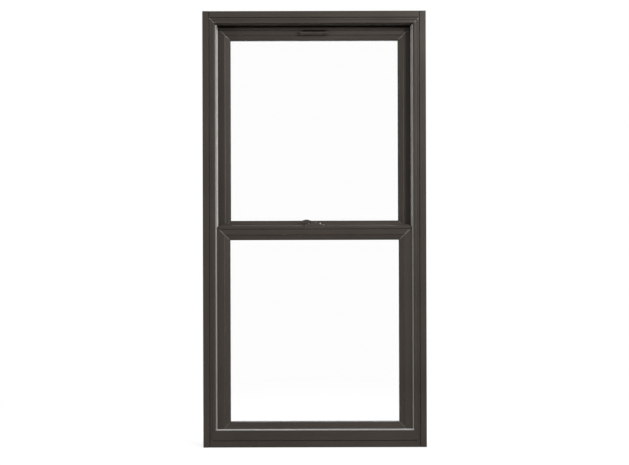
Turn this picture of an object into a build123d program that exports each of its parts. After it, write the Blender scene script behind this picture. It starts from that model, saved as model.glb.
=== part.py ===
"""Double-hung window with two tilting sashes and double glazing.

The room side faces -Y, the weather side +Y, and +Z is up. The origin lies on the underside of the
sill, at the middle of the frame's width and depth. All sizes are in millimetres.
"""

import os

from build123d import *

# overall frame
width = 800.1
height = 1562.1
depth = 82.55
shell = 2.8

# frame face, each measured inward from the frame's outer edge
band = 22.5
groove = 2.5
step = 7.0
stop_face = 12.0
wall = 47.0
blind = 60.0

# frame face, each measured back from the room face
groove_deep = 4.0
step_back = 1.2
stop_back = 0.5
stop_deep = 9.4
blind_thick = 4.35

# sash members
sash_front = 10.0
sash_gap = 4.0
side_clear = 3.0
top_clear = 2.0
member = 46.0
flat = 26.0
bevel = 3.5
bevel_deep = 2.6
lower_rail = 38.5
upper_rail = 35.0
cap = 14.0
cap_groove = 2.5
cap_round = 6.0
sash_overlap = 31.0
outer_bevel = 3.0

# glazing
pane_thick = 3.0
bite = 12.0
glass_back = 8.0
glass_leg = 5.5
pocket_clear = 3.0
bead_lip = 1.6
spacer_wide = 9.5
spacer_inset = 1.5

# sill
sill_seat = 42.0
sill_stop_top = 60.4
sill_drop = 4.0
sill_nose = 31.0
weep_long = 32.0
weep_high = 5.0
weep_low = 6.0
weep_inset = 110.0

# running track and frame screws in each jamb
slot_wide = 12.0
slot_deep = 3.0
track_wide = 20.0
track_deep = 16.0
track_floor = 3.0
screw_r = 3.0
screw_inset = 110.0

# seals
bulb_high = 4.6
bulb_wide = 5.2
bulb_round = 2.0
parting_reach = 4.5
parting_thick = 2.4
pile_wide = 5.0
pile_back = 1.0
pile_fin = 1.6
pile_reach = 2.0
end_clear = 2.0

# interlock of the meeting rails
hook_thick = 1.2
hook_tip = 0.4
hook_high = 8.0
hook_slack = 3.2
hook_end = 12.0

# cam lock
lock_long = 72.0
lock_sink = 10.0
lock_rise = 2.4
lock_corner = 5.0
lock_taper = 25
body_long = 56.0
body_rise = 6.8
ear_x = 20.5
ear_r = 7.0
ear_rise = 9.7
ear_bevel = 5.0
bore_r = 2.8
bore_deep = 2.2
bore_tilt = 45
hub_r = 8.4
hub_rise = 8.4
hub_round = 7.4
hub_taper = 12
spindle_r = 4.0
lever_long = 44.0
lever_wide = 9.0
lever_waist = 6.6
lever_thick = 4.0
lever_round = 3.4
thumb_x = 28.0
thumb_peak = 12.4
thumb_end = 8.6
thumb_under = 5.6
thumb_arch = 24.0
claw_low = 2.0
claw_thick = 2.8
claw_wide = 4.4
keeper_half = 24.0
keeper_plate = 2.2
keeper_lip = 2.0
keeper_foot = 3.0

# tilt latches
latch_long = 57.0
latch_wide = 18.0
latch_plate = 2.5
latch_corner = 3.0
latch_slope = 14.0
latch_drop = 8.0
bolt_wide = 10.0
bolt_high = 4.8
bolt_back = 22.0
bolt_reach = 6.0
button_long = 16.0
button_wide = 12.0
button_rise = 3.0

# finger pull
pull_long = 104.0
pull_up = 4.0
pull_drop = 7.0
pull_rise = 9.4
pull_reach = 12.0
pull_thick = 2.4
pull_belly = 5.6
pull_corner = 8.0
lip_rise = 4.4
pocket_long = 84.0
pocket_low = 4.0
pocket_high = 8.0
thumb_notch = 4.5

# balances
shoe_high = 40.0
shoe_low = 4.0
pivot_r = 4.6
pivot_up = 20.0
pivot_in = 10.0
channel_long = 430.0
channel_wall = 1.5
channel_inset = 2.0

# working clearances and small edges
seat = 0.2
hairline = 0.1
overcut = 1.0
edge = 1.2
crisp = 0.6
nosing = 2.5

# derived stations
half = width / 2
front = -depth / 2
back = depth / 2
face = band + groove
stop_out = face + step
stop_in = stop_out + stop_face
wall_half = half - wall
head_in = height - wall
sash_thick = (depth - sash_front - sash_gap - blind_thick - seat) / 2
sash_half = wall_half - side_clear
day_half = sash_half - member
lower_y = front + sash_front
lower_back = lower_y + sash_thick
upper_y = lower_back + sash_gap
air_gap = sash_thick - glass_back - 2 * pane_thick - glass_leg
upper_top = head_in - top_clear
heights = 2 * (member + cap) + lower_rail + upper_rail
day_high = (upper_top - sill_seat - heights + sash_overlap) / 2
lower_day = sill_seat + member
lower_day_top = lower_day + day_high
lower_top = lower_day_top + lower_rail + cap
upper_day_top = upper_top - cap - upper_rail
upper_day = upper_day_top - day_high
upper_low = upper_day - member
track_y = (lower_y + sash_thick / 2, upper_y + sash_thick / 2)
track_x = wall_half + slot_deep
sides = ((-1, "left"), (1, "right"))

os.makedirs("parts", exist_ok=True)


def save(piece, label):
    """Name one piece and write it."""
    piece.part.label = label
    export_step(piece.part, f"parts/{label}.step")


def outline(plane, points):
    """Close an outline whose corners are given as across, up and corner radius."""
    with BuildSketch(plane) as shape:
        with BuildLine():
            FilletPolyline(*[p[:2] for p in points], radius=[p[2] for p in points], close=True)
        make_face()
    return shape.sketch


def upright(side, points, low, high):
    """Run an outline of x and y up the left side (-1) or the right side (1)."""
    extrude(outline(Plane.XY.offset(low), [(side * x, y, r) for x, y, r in points]), amount=high - low)


def level(points, start, end, mode=Mode.ADD):
    """Run an outline of y and z across the window."""
    extrude(outline(Plane.YZ.offset(start), points), amount=end - start, mode=mode)


def trim(points):
    """Keep only what lies inside an outline of x and z."""
    extrude(outline(Plane.XZ, [(x, z, 0) for x, z in points]), amount=depth, both=True, mode=Mode.INTERSECT)


def block(x0, x1, y0, y1, z0, z1, mode=Mode.ADD):
    """Add or cut a plain block between two corners."""
    with Locations(((x0 + x1) / 2, (y0 + y1) / 2, (z0 + z1) / 2)):
        Box(abs(x1 - x0), abs(y1 - y0), abs(z1 - z0), mode=mode)


def hollow(x0, x1, y0, y1, z0, z1):
    """Cut a chamber out of a bar."""
    block(x0, x1, y0, y1, z0, z1, Mode.SUBTRACT)


def bar_across(x, y, z, radius, reach, mode=Mode.ADD):
    """Add or cut a round bar along X, centred on a point."""
    with Locations(Location((x, y, z), (0, 90, 0))):
        Cylinder(radius, 2 * reach, mode=mode)


def sheet(y, thick, margin, day, day_top, mode=Mode.ADD):
    """Add or cut a flat sheet that reaches past the daylight opening by a margin."""
    with BuildSketch(Plane.XZ.offset(-y - thick)) as shape:
        with Locations((0, (day + day_top) / 2)):
            Rectangle(2 * (day_half + margin), day_top - day + 2 * margin)
    extrude(shape.sketch, amount=thick, mode=mode)


def pad(x, y, z, long, wide, corner, rise, taper):
    """Raise a rounded rectangle whose sides draw in as it rises."""
    with BuildSketch(Plane.XY.offset(z)) as shape:
        with Locations((x, y)):
            RectangleRounded(long, wide, corner)
    extrude(shape.sketch, amount=rise, taper=taper)


# frame outline across a jamb or the head: inward from the outer edge, then back from the room face
frame_outline = [
    (0, 0, edge),
    (band, 0, edge),
    (band, groove_deep, 0),
    (face, groove_deep, 0),
    (face, step_back, crisp),
    (stop_out, step_back, edge),
    (stop_out, stop_deep + seat, 0),
    (wall, stop_deep + seat, crisp),
    (wall, depth - blind_thick, 0),
    (blind, depth - blind_thick, crisp),
    (blind, depth, edge),
    (0, depth, edge),
]

sill_outline = [
    (front, 0, edge),
    (front, band, edge),
    (front + groove_deep, band, 0),
    (front + groove_deep, face, 0),
    (front + stop_deep + seat, face, 0),
    (front + stop_deep + seat, sill_seat, 0),
    (upper_y, sill_seat, crisp),
    (upper_y, sill_seat - sill_drop, 0),
    (back, sill_nose, edge),
    (back, 0, edge),
]

# hollow chambers: a pair behind the band, one between the tracks and a pair in the head
band_chambers = (
    (front + groove_deep + shell, -shell / 2),
    (shell / 2, back - shell),
)
track_chamber = (track_y[0] + track_wide / 2 + shell, track_y[1] - track_wide / 2 - shell)
head_chambers = (
    (front + stop_deep + seat + shell, -shell / 2),
    (shell / 2, back - blind_thick - shell),
)

with BuildPart() as right_jamb:
    upright(1, [(half - u, front + t, r) for u, t, r in frame_outline], 0, height)
    trim([
        (half, 0),
        (half, height),
        (half - face, height),
        (half - face, height - face),
        (half - blind, height - blind),
        (half - blind, 0),
    ])
    level([(y, z, 0) for y, z, r in sill_outline], 0, half - face, Mode.SUBTRACT)
    hollow(half - blind, half - face, front, front + groove_deep, 0, face)
    for y0, y1 in band_chambers:
        hollow(half - shell, half - band + shell, y0, y1, 0, height)
    hollow(track_x + track_deep, wall_half + shell, *track_chamber, 0, height - face)
    for y in track_y:
        for x0, deep, wide in ((wall_half, slot_deep, slot_wide), (track_x, track_deep, track_wide)):
            hollow(x0, x0 + deep, y - wide / 2, y + wide / 2, sill_seat + track_floor, height - face)
    for z in (lower_day + screw_inset, upper_day_top - screw_inset):
        bar_across(half, track_y[1], z, screw_r, wall, Mode.SUBTRACT)
save(right_jamb, "right_jamb")

with BuildPart() as left_jamb:
    mirror(right_jamb.part, about=Plane.YZ)
save(left_jamb, "left_jamb")

with BuildPart() as head:
    level([(front + t, height - u, r) for u, t, r in frame_outline], face - half, half - face)
    trim([
        (face - half, height),
        (half - face, height),
        (half - face, height - face),
        (half - blind, height - blind),
        (blind - half, height - blind),
        (face - half, height - face),
    ])
    for y0, y1 in band_chambers:
        hollow(-half, half, y0, y1, height - band + shell, height - shell)
    for y0, y1 in head_chambers:
        hollow(-half, half, y0, y1, head_in + shell, height - face)
save(head, "head")

with BuildPart() as sill:
    level(sill_outline, face - half, half - face)
    hollow(-half, half, front + shell, upper_y - shell, shell, band - shell)
    hollow(-half, half, front + stop_deep + seat + shell, upper_y - shell, band, sill_seat - shell)
    hollow(-half, half, upper_y, back - shell, shell, sill_nose - shell)
    for x in (weep_inset - half, half - weep_inset):
        hollow(x - weep_long / 2, x + weep_long / 2, upper_y, back, weep_low, weep_low + weep_high)
save(sill, "sill")

# interior stops
stop_outline = [
    (stop_out + seat, stop_back, nosing),
    (stop_in, stop_back, nosing),
    (stop_in, stop_deep, crisp),
    (stop_out + seat, stop_deep, 0),
]
for side, hand in sides:
    with BuildPart() as stop:
        upright(side, [(half - u, front + t, r) for u, t, r in stop_outline], sill_stop_top, height)
        trim([
            (side * half, sill_stop_top),
            (side * half, height),
            (side * (half - blind), height - blind),
            (side * (half - blind), sill_stop_top),
        ])
    save(stop, f"{hand}_stop")

with BuildPart() as head_stop:
    level([(front + t, height - u, r) for u, t, r in stop_outline], -half, half)
    trim([(-half, height), (half, height), (half - blind, height - blind), (blind - half, height - blind)])
save(head_stop, "head_stop")

with BuildPart() as sill_stop:
    level([
        (front + stop_back, face, crisp),
        (front + stop_back, sill_stop_top, nosing),
        (front + stop_deep, sill_stop_top, crisp),
        (front + stop_deep, face, 0),
    ], stop_out + seat - half, half - stop_out - seat)
save(sill_stop, "sill_stop")

# seals
with BuildPart() as sill_seal:
    bulb_y = front + stop_deep
    level([
        (bulb_y - bulb_wide, sill_stop_top, 0),
        (bulb_y - bulb_wide, sill_stop_top + bulb_high, bulb_round),
        (bulb_y, sill_stop_top + bulb_high, bulb_round),
        (bulb_y, sill_stop_top, 0),
    ], stop_in + seat - half, half - stop_in - seat)
save(sill_seal, "sill_weatherstrip")

for side, hand in sides:
    with BuildPart() as parting:
        parting_y = lower_back + (sash_gap - parting_thick) / 2
        upright(side, [
            (wall_half, parting_y, 0),
            (wall_half, parting_y + parting_thick, 0),
            (wall_half - parting_reach, parting_y + parting_thick, crisp),
            (wall_half - parting_reach, parting_y, crisp),
        ], sill_seat + end_clear, head_in - end_clear)
    save(parting, f"{hand}_parting_strip")
    with BuildPart() as pile:
        pile_y = lower_y + pile_back
        fin_y = front + stop_deep + seat - hairline
        fin_out = half - stop_in - seat
        upright(side, [
            (fin_out, fin_y - pile_fin, crisp),
            (wall_half - pile_reach, fin_y - pile_fin, crisp),
            (wall_half - pile_reach, pile_y, 0),
            (sash_half, pile_y, 0),
            (sash_half, pile_y + pile_wide, 0),
            (wall_half - seat, pile_y + pile_wide, 0),
            (wall_half - seat, fin_y, 0),
            (fin_out, fin_y, 0),
        ], sill_stop_top + bulb_high + seat, head_in - end_clear)
    save(pile, f"{hand}_pile_strip")

# sash outlines: outward from the daylight edge, then back from the sash face
flat_in = member - flat
bevel_in = flat_in - bevel
pocket = bite + pocket_clear
leg = sash_thick - glass_leg
pocket_side = [
    (flat_in, 0, crisp),
    (bevel_in, bevel_deep, crisp),
    (bevel_in, glass_back, 0),
    (pocket, glass_back, 0),
    (pocket, leg, 0),
    (0, leg, 0),
    (0, sash_thick - outer_bevel, crisp),
    (outer_bevel, sash_thick, crisp),
]
member_outline = [(member, 0, edge), *pocket_side, (member, sash_thick, edge)]
bead_outline = [
    (bevel_in - seat, bevel_deep + seat, crisp),
    (bead_lip, glass_back - bead_lip, crisp),
    (bead_lip / 2, glass_back, 0),
    (bevel_in - seat, glass_back, 0),
]


def capped_outline(rail):
    """Outline of a top rail: the rail, a shadow groove and the cap above it."""
    return [
        (rail + cap, 0, cap_round),
        (rail + cap_groove / 2, 0, crisp),
        (rail + cap_groove / 2, cap_groove, 0),
        (rail - cap_groove / 2, cap_groove, 0),
        (rail - cap_groove / 2, 0, crisp),
        *pocket_side,
        (rail + cap, sash_thick, edge),
    ]


def stile(side, face_y, day, day_top, rail):
    """One upright of a sash, mitred below and shouldered under the cap above."""
    low = day - member
    high = day_top + rail
    with BuildPart() as bar:
        upright(side, [(day_half + w, face_y + t, r) for w, t, r in member_outline], low, high)
        trim([
            (side * day_half, day),
            (side * sash_half, low),
            (side * sash_half, high),
            (side * (day_half + rail), high),
            (side * day_half, day_top),
        ])
        hollow(side * (day_half + pocket + shell), side * (sash_half - shell),
               face_y + glass_back + shell, face_y + sash_thick - shell, low, high)
        bar_across(side * sash_half, face_y + sash_thick / 2, low + pivot_up,
                   pivot_r + seat, pivot_in + end_clear, Mode.SUBTRACT)
    return bar


def bottom_rail(face_y, day):
    """The lower rail of a sash, mitred at both ends."""
    with BuildPart() as bar:
        level([(face_y + t, day - w, r) for w, t, r in member_outline], -sash_half, sash_half)
        trim([(-day_half, day), (day_half, day), (sash_half, day - member), (-sash_half, day - member)])
        hollow(-half, half, face_y + glass_back + shell, face_y + sash_thick - shell,
               day - member + shell, day - pocket - shell)
    return bar


def top_rail(face_y, day_top, rail):
    """The upper rail of a sash, whose cap runs on over the stiles."""
    shoulder = day_half + rail
    joint_z = day_top + rail
    with BuildPart() as bar:
        level([(face_y + t, day_top + w, r) for w, t, r in capped_outline(rail)], -sash_half, sash_half)
        trim([
            (-day_half, day_top),
            (day_half, day_top),
            (shoulder, joint_z),
            (sash_half, joint_z),
            (sash_half, joint_z + cap),
            (-sash_half, joint_z + cap),
            (-sash_half, joint_z),
            (-shoulder, joint_z),
        ])
        hollow(-half, half, face_y + glass_back + shell, face_y + sash_thick - shell,
               day_top + pocket + shell, joint_z - shell)
    return bar


def bead_upright(side, face_y, day, day_top):
    """A glazing bead beside the glass, with a hairline at each mitre."""
    with BuildPart() as bar:
        shape = [(day_half + w, face_y + t, r) for w, t, r in bead_outline]
        upright(side, shape, day - member, day_top + member)
        trim([
            (side * day_half, day + hairline),
            (side * sash_half, day - member + hairline),
            (side * sash_half, day_top + member - hairline),
            (side * day_half, day_top - hairline),
        ])
    return bar


def bead_level(face_y, z, way):
    """A glazing bead above (way 1) or below (way -1) the glass."""
    near = day_half - hairline
    far = near + member
    with BuildPart() as bar:
        level([(face_y + t, z + way * w, r) for w, t, r in bead_outline], -sash_half, sash_half)
        trim([(-near, z), (near, z), (far, z + way * member), (-far, z + way * member)])
    return bar


def pane(y, day, day_top):
    """One sheet of glass, held all round by the bite."""
    with BuildPart() as glass:
        sheet(y, pane_thick, bite, day, day_top)
    return glass


def spacer(y, day, day_top):
    """The frame that keeps the two panes apart."""
    margin = bite - spacer_inset
    with BuildPart() as ring:
        sheet(y, air_gap, margin, day, day_top)
        sheet(y, air_gap, margin - spacer_wide, day, day_top, Mode.SUBTRACT)
    return ring


for name, face_y, day, day_top, rail in (
    ("lower", lower_y, lower_day, lower_day_top, lower_rail),
    ("upper", upper_y, upper_day, upper_day_top, upper_rail),
):
    for side, hand in sides:
        save(stile(side, face_y, day, day_top, rail), f"{name}_{hand}_stile")
        save(bead_upright(side, face_y, day, day_top), f"{name}_{hand}_bead")
    save(bead_level(face_y, day, -1), f"{name}_bottom_bead")
    save(bead_level(face_y, day_top, 1), f"{name}_top_bead")
    glass_y = face_y + glass_back
    save(pane(glass_y, day, day_top), f"{name}_inner_pane")
    save(spacer(glass_y + pane_thick, day, day_top), f"{name}_spacer")
    save(pane(glass_y + pane_thick + air_gap, day, day_top), f"{name}_outer_pane")

# stations of the lock and the latches on the meeting rail
claw_back = upper_y - keeper_plate - seat
claw_tip = claw_back - claw_wide
lip_y = claw_tip - seat - keeper_lip
lock_back = lip_y - end_clear
lock_deep = lock_back - lower_y
lock_y = (lower_y + lock_back) / 2
lock_half = lock_long / 2
claw_z = lower_top + claw_low
claw_top = claw_z + claw_thick
claw_r = spindle_r + edge
bolt_y = (track_y[0] - bolt_wide / 2, track_y[0] + bolt_wide / 2)
bolt_top = lower_top - latch_drop - edge
bolt_low = bolt_top - bolt_high
slope_x = sash_half - latch_slope
hook_mid = lower_top - sash_overlap / 2
hook_up = (hook_high + hook_slack) / 2

# stations of the finger pull on the upper rail's flat face
pull_z = upper_day_top + flat_in + pull_up
pocket_half = pocket_long / 2
pocket_z = pull_z + pocket_low
pocket_round = pocket_high / 2 - hairline
pull_half = pull_long / 2


def hook(y, z, way):
    """Two runs of an interlock hook, clear of the keeper; way 1 hangs from the lower sash."""
    tip = y + way * (sash_gap - hook_tip)
    points = [
        (y, z),
        (tip, z),
        (tip, z - way * hook_high),
        (tip - way * hook_thick, z - way * hook_high),
        (tip - way * hook_thick, z - way * hook_thick),
        (y, z - way * hook_thick),
    ]
    for start, end in ((hook_end - sash_half, -lock_half), (lock_half, sash_half - hook_end)):
        level([(a, b, 0) for a, b in points], start, end)


with BuildPart() as lower_top_rail:
    add(top_rail(lower_y, lower_day_top, lower_rail).part)
    hook(lower_back, hook_mid + hook_up, 1)
    hollow(-lock_half - seat, lock_half + seat, lower_y - overcut, lock_back + seat,
           lower_top - lock_sink, lower_top + overcut)
    for side, hand in sides:
        hollow(side * (sash_half - bolt_back - seat), side * (sash_half + overcut),
               bolt_y[0] - seat, bolt_y[1] + seat, bolt_low - seat, lower_top + overcut)
        extrude(outline(Plane.XZ, [
            (side * slope_x, lower_top, 0),
            (side * sash_half, lower_top - latch_drop, 0),
            (side * wall_half, lower_top - latch_drop, 0),
            (side * wall_half, lower_top + overcut, 0),
            (side * slope_x, lower_top + overcut, 0),
        ]), amount=depth, both=True, mode=Mode.SUBTRACT)
save(lower_top_rail, "lower_top_rail")
save(bottom_rail(lower_y, lower_day), "lower_bottom_rail")

with BuildPart() as upper_top_rail:
    add(top_rail(upper_y, upper_day_top, upper_rail).part)
    pocket_deep = glass_back + shell + overcut
    extrude(outline(Plane.XZ.offset(-upper_y - pocket_deep), [
        (-pocket_half, pocket_z, pocket_round),
        (pocket_half, pocket_z, pocket_round),
        (pocket_half, pocket_z + pocket_high, pocket_round),
        (-pocket_half, pocket_z + pocket_high, pocket_round),
    ]), amount=pocket_deep + overcut, mode=Mode.SUBTRACT)
save(upper_top_rail, "upper_top_rail")

with BuildPart() as upper_bottom_rail:
    add(bottom_rail(upper_y, upper_day).part)
    hook(upper_y, hook_mid - hook_up, -1)
save(upper_bottom_rail, "upper_bottom_rail")

# cam lock: a housing with two screw ears, and a lever whose claw hooks behind the keeper's lip
with BuildPart() as lock_base:
    pad(0, lock_y, lower_top - lock_sink, lock_long, lock_deep, lock_corner, lock_sink, 0)
    pad(0, lock_y, lower_top, lock_long, lock_deep, lock_corner, lock_rise, lock_taper)
    pad(0, lock_y, lower_top, body_long, lock_deep - 2 * lock_rise, lock_corner, body_rise, hub_taper)
    for x, r, rise in ((-ear_x, ear_r, ear_rise), (ear_x, ear_r, ear_rise), (0, hub_r, hub_rise)):
        with Locations((x, lock_y, lower_top)):
            Cylinder(r, rise, align=(Align.CENTER, Align.CENTER, Align.MIN))
    bore_y = lock_y - ear_r + crisp + ear_bevel / 2
    bore_z = lower_top + ear_rise - ear_bevel / 2
    for x in (-ear_x, ear_x):
        level([
            (bore_y - ear_bevel / 2, bore_z - ear_bevel / 2, 0),
            (bore_y + ear_bevel, bore_z + ear_bevel, 0),
            (lower_y, bore_z + ear_bevel, 0),
            (lower_y, bore_z - ear_bevel / 2, 0),
        ], x - ear_r, x + ear_r, Mode.SUBTRACT)
        with Locations(Location((x, bore_y, bore_z), (bore_tilt, 0, 0))):
            Cylinder(bore_r, 2 * bore_deep, mode=Mode.SUBTRACT)
    hollow(-claw_r - seat, keeper_half + seat, lock_y - claw_r - seat, lock_back + overcut,
           claw_z - seat, claw_top + seat)
    with Locations((0, lock_y, claw_z)):
        Cylinder(spindle_r + seat, hub_rise, align=(Align.CENTER, Align.CENTER, Align.MIN),
                 mode=Mode.SUBTRACT)
save(lock_base, "lock_base")

with BuildPart() as lock_lever:
    lever_z = lower_top + hub_rise + seat
    arm = lever_wide / 2
    extrude(outline(Plane.XY.offset(lever_z), [
        (hub_r, lock_y - hub_r, hub_round),
        (hub_r, lock_y + hub_r, hub_round),
        (-hub_r, lock_y + hub_r, hub_round),
        (-thumb_x, lock_y + lever_waist / 2, hub_r),
        (-lever_long, lock_y + arm, lever_round),
        (-lever_long, lock_y - arm, lever_round),
        (-hub_r, lock_y - hub_r, hub_r),
    ]), amount=thumb_peak)
    extrude(outline(Plane.XZ, [
        (hub_r, lever_z, 0),
        (hub_r, lever_z + lever_thick, edge),
        (0, lever_z + lever_thick, hub_r),
        (-thumb_x, lever_z + thumb_peak, thumb_arch),
        (-lever_long, lever_z + thumb_end, edge),
        (-lever_long, lever_z + thumb_end - lever_thick, edge),
        (-thumb_x, lever_z + thumb_under, thumb_arch),
        (-hub_r, lever_z, 0),
    ]), amount=depth, both=True, mode=Mode.INTERSECT)
    with Locations((0, lock_y, claw_z)):
        Cylinder(spindle_r, lever_z - claw_z + edge, align=(Align.CENTER, Align.CENTER, Align.MIN))
    extrude(outline(Plane.XY.offset(claw_z), [
        (-claw_r, lock_y - claw_r, spindle_r),
        (keeper_half, lock_y - claw_r, spindle_r),
        (keeper_half, claw_back, edge),
        (-edge, claw_back, edge),
        (-edge, claw_tip, edge),
        (keeper_half - claw_wide, claw_tip, 0),
        (keeper_half - claw_wide, lock_y + claw_r, edge),
        (-claw_r, lock_y + claw_r, spindle_r),
    ]), amount=claw_thick)
save(lock_lever, "lock_lever")

with BuildPart() as lock_keeper:
    flange = claw_top + seat
    lip_end = keeper_half - claw_wide - seat
    block(-keeper_half, keeper_half, upper_y - keeper_plate, upper_y,
          upper_low + keeper_foot, flange + keeper_lip)
    level([
        (upper_y - keeper_plate, flange, 0),
        (lip_y + keeper_lip, flange, 0),
        (lip_y + keeper_lip, claw_z - seat, 0),
        (lip_y, claw_z - seat, 0),
        (lip_y, flange + keeper_lip, edge),
        (upper_y - keeper_plate, flange + keeper_lip, 0),
    ], -keeper_half, lip_end)
save(lock_keeper, "lock_keeper")

# tilt latches: a plate that follows the cap's sloped end, a thumb button and the bolt in the track slot
for side, hand in sides:
    latch_in = sash_half - latch_long
    latch_y = (track_y[0] - latch_wide / 2, track_y[0] + latch_wide / 2)
    with BuildPart() as latch:
        extrude(outline(Plane.XZ.offset(-latch_y[1]), [
            (side * latch_in, lower_top, 0),
            (side * latch_in, lower_top + latch_plate, edge),
            (side * slope_x, lower_top + latch_plate, latch_corner),
            (side * sash_half, lower_top + latch_plate - latch_drop, edge),
            (side * sash_half, lower_top - latch_drop, 0),
            (side * slope_x, lower_top, 0),
        ]), amount=latch_wide)
        pad(side * (latch_in + slope_x) / 2, track_y[0], lower_top, button_long, button_wide, latch_corner,
            latch_plate + button_rise, 0)
        block(side * (sash_half - bolt_back), side * (wall_half + bolt_reach), *bolt_y, bolt_low, bolt_top)
        block(side * (sash_half - bolt_back), side * (slope_x - edge), *bolt_y, bolt_low, lower_top)
    save(latch, f"{hand}_tilt_latch")

# finger pull: a lip that stands off the upper rail, closed at its ends and open above
with BuildPart() as pull:
    lip_front = upper_y - pull_reach
    lip_back = lip_front + pull_thick
    level([
        (upper_y, pull_z - pull_drop, 0),
        (upper_y - pull_reach / 2, pull_z - pull_drop, pull_thick),
        (lip_front, pull_z + pull_belly - pull_drop, pull_belly),
        (lip_front, pull_z + lip_rise, crisp),
        (upper_y - pull_thick, pull_z + pull_rise, edge),
        (upper_y, pull_z + pull_rise, 0),
    ], -pull_half, pull_half)
    extrude(outline(Plane.XZ, [
        (-pull_half, pull_z - pull_drop, pull_corner),
        (pull_half, pull_z - pull_drop, pull_corner),
        (pull_half, pull_z + pull_rise, pull_corner),
        (-pull_half, pull_z + pull_rise, pull_corner),
    ]), amount=depth, both=True, mode=Mode.INTERSECT)
    hollow(-pocket_half, pocket_half, lip_back, upper_y - pull_thick,
           pull_z + pull_thick - pull_drop, pull_z + pull_rise + overcut)
    hollow(-pocket_half, pocket_half, lip_front - overcut, upper_y + overcut,
           pull_z + lip_rise, pull_z + pull_rise + overcut)
    with Locations(Location((0, lip_front, pull_z + lip_rise), (90, 0, 0))):
        Cylinder(thumb_notch, 2 * pull_thick, mode=Mode.SUBTRACT)
save(pull, "finger_pull")

# balances: a shoe with its pivot in the stile's foot, and the spring channel above it
for name, y, low in (("lower", track_y[0], sill_seat), ("upper", track_y[1], upper_low)):
    for side, hand in sides:
        shoe_in = track_x + seat
        shoe_out = track_x + track_deep - seat
        shoe_wide = track_wide / 2 - seat
        shoe_top = low + shoe_low + shoe_high
        pivot_x0 = sash_half - pivot_in
        pivot_x1 = shoe_in + edge
        with BuildPart() as balance:
            block(side * shoe_in, side * shoe_out, y - shoe_wide, y + shoe_wide, low + shoe_low, shoe_top)
            wide = shoe_wide - channel_inset
            upright(side, [
                (shoe_in + channel_inset, y - wide, 0),
                (shoe_out, y - wide, channel_wall),
                (shoe_out, y + wide, channel_wall),
                (shoe_in + channel_inset, y + wide, 0),
                (shoe_in + channel_inset, y + wide - channel_wall, 0),
                (shoe_out - channel_wall, y + wide - channel_wall, 0),
                (shoe_out - channel_wall, y - wide + channel_wall, 0),
                (shoe_in + channel_inset, y - wide + channel_wall, 0),
            ], shoe_top, shoe_top + channel_long)
            bar_across(side * (pivot_x0 + pivot_x1) / 2, y, low + pivot_up,
                       pivot_r, (pivot_x1 - pivot_x0) / 2)
        save(balance, f"{hand}_{name}_balance")
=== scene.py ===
"""Looks of a dark bronze double-hung window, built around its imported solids."""

import math
import random

import bmesh
import bpy
from mathutils import Matrix, Vector


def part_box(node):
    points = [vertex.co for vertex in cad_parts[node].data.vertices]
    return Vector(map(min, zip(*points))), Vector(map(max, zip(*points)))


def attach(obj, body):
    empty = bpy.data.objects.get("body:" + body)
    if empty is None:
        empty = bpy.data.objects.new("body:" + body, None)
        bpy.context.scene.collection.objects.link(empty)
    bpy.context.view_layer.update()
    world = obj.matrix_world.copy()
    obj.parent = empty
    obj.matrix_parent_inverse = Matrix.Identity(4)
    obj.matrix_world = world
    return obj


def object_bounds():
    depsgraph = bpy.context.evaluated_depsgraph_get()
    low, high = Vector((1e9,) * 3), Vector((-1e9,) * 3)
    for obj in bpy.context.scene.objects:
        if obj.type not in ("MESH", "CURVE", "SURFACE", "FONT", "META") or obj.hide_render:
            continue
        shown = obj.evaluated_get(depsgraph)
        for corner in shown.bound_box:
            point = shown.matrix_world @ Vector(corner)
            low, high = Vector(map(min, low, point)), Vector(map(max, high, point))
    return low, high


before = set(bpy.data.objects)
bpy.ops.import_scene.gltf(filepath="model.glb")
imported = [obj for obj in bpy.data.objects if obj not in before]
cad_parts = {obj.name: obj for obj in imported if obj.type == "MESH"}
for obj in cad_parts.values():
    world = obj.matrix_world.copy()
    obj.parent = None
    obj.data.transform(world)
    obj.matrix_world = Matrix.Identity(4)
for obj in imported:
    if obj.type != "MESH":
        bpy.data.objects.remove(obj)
CAD_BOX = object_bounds()

bl_info = {
    "name": "Bronze double-hung window",
    "version": (1, 0, 0),
    "blender": (4, 5, 0),
    "location": "View3D > Sidebar > Window",
    "description": "Finishes, seams, seals and fasteners of a double-hung window",
    "category": "Object",
}

BODY = "root"
SIDES = (-1, 1)
HANDS = {-1: "left", 1: "right"}
SASHES = ("lower", "upper")
ROOM = Vector((0, -1, 0))
WEATHER = Vector((0, 1, 0))
UP = Vector((0, 0, 1))
WHITE = (1.0, 1.0, 1.0, 1.0)
PHOTO_WIDE = 629
PHOTO_HIGH = 465
SENSOR = 36.0

# depth of the bumps, and widths of the edges painted lighter as wear and as painted highlight, in metres;
# five times that width is how far the painted shade in recesses reaches
BUMP_DEEP = 0.0003
PROFILE_EDGE_REACH = 0.0014
HARDWARE_EDGE_REACH = 0.0008

# how often draw lines and rolling streaks repeat along X, Y and Z, in a metre
UPRIGHT_DRAW = (700.0, 700.0, 5.0)
LEVEL_DRAW = (5.0, 700.0, 700.0)
SPACER_STREAKS = (6.0, 900.0, 6.0)
STEEL_STREAKS = (60.0, 60.0, 4.0)
SCREW_STREAKS = (300.0, 300.0, 300.0)
PILE_FIBRES = (2600.0, 2600.0, 900.0)
VENT_HOLES = 260.0

# a screw head: its sides, and its parts as shares of its radius or its rise
SCREW_SIDES = 24
SCREW_TOP = 0.82
SCREW_CROWN = 1.12
CROSS_ARM = 0.56
CROSS_WAIST = 0.17
CROSS_DEEP = 0.9
EAR_TILT = math.radians(45)

# a tuft of pile: its lean in degrees, and its sizes as shares of the tuft step
TUFT_SEED = 11
TUFT_SIDES = 5
TUFT_LEAN = 14.0
TUFT_FOOT = 0.32
TUFT_TIP = 0.12
TUFT_HIGH = (0.35, 0.60)

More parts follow.
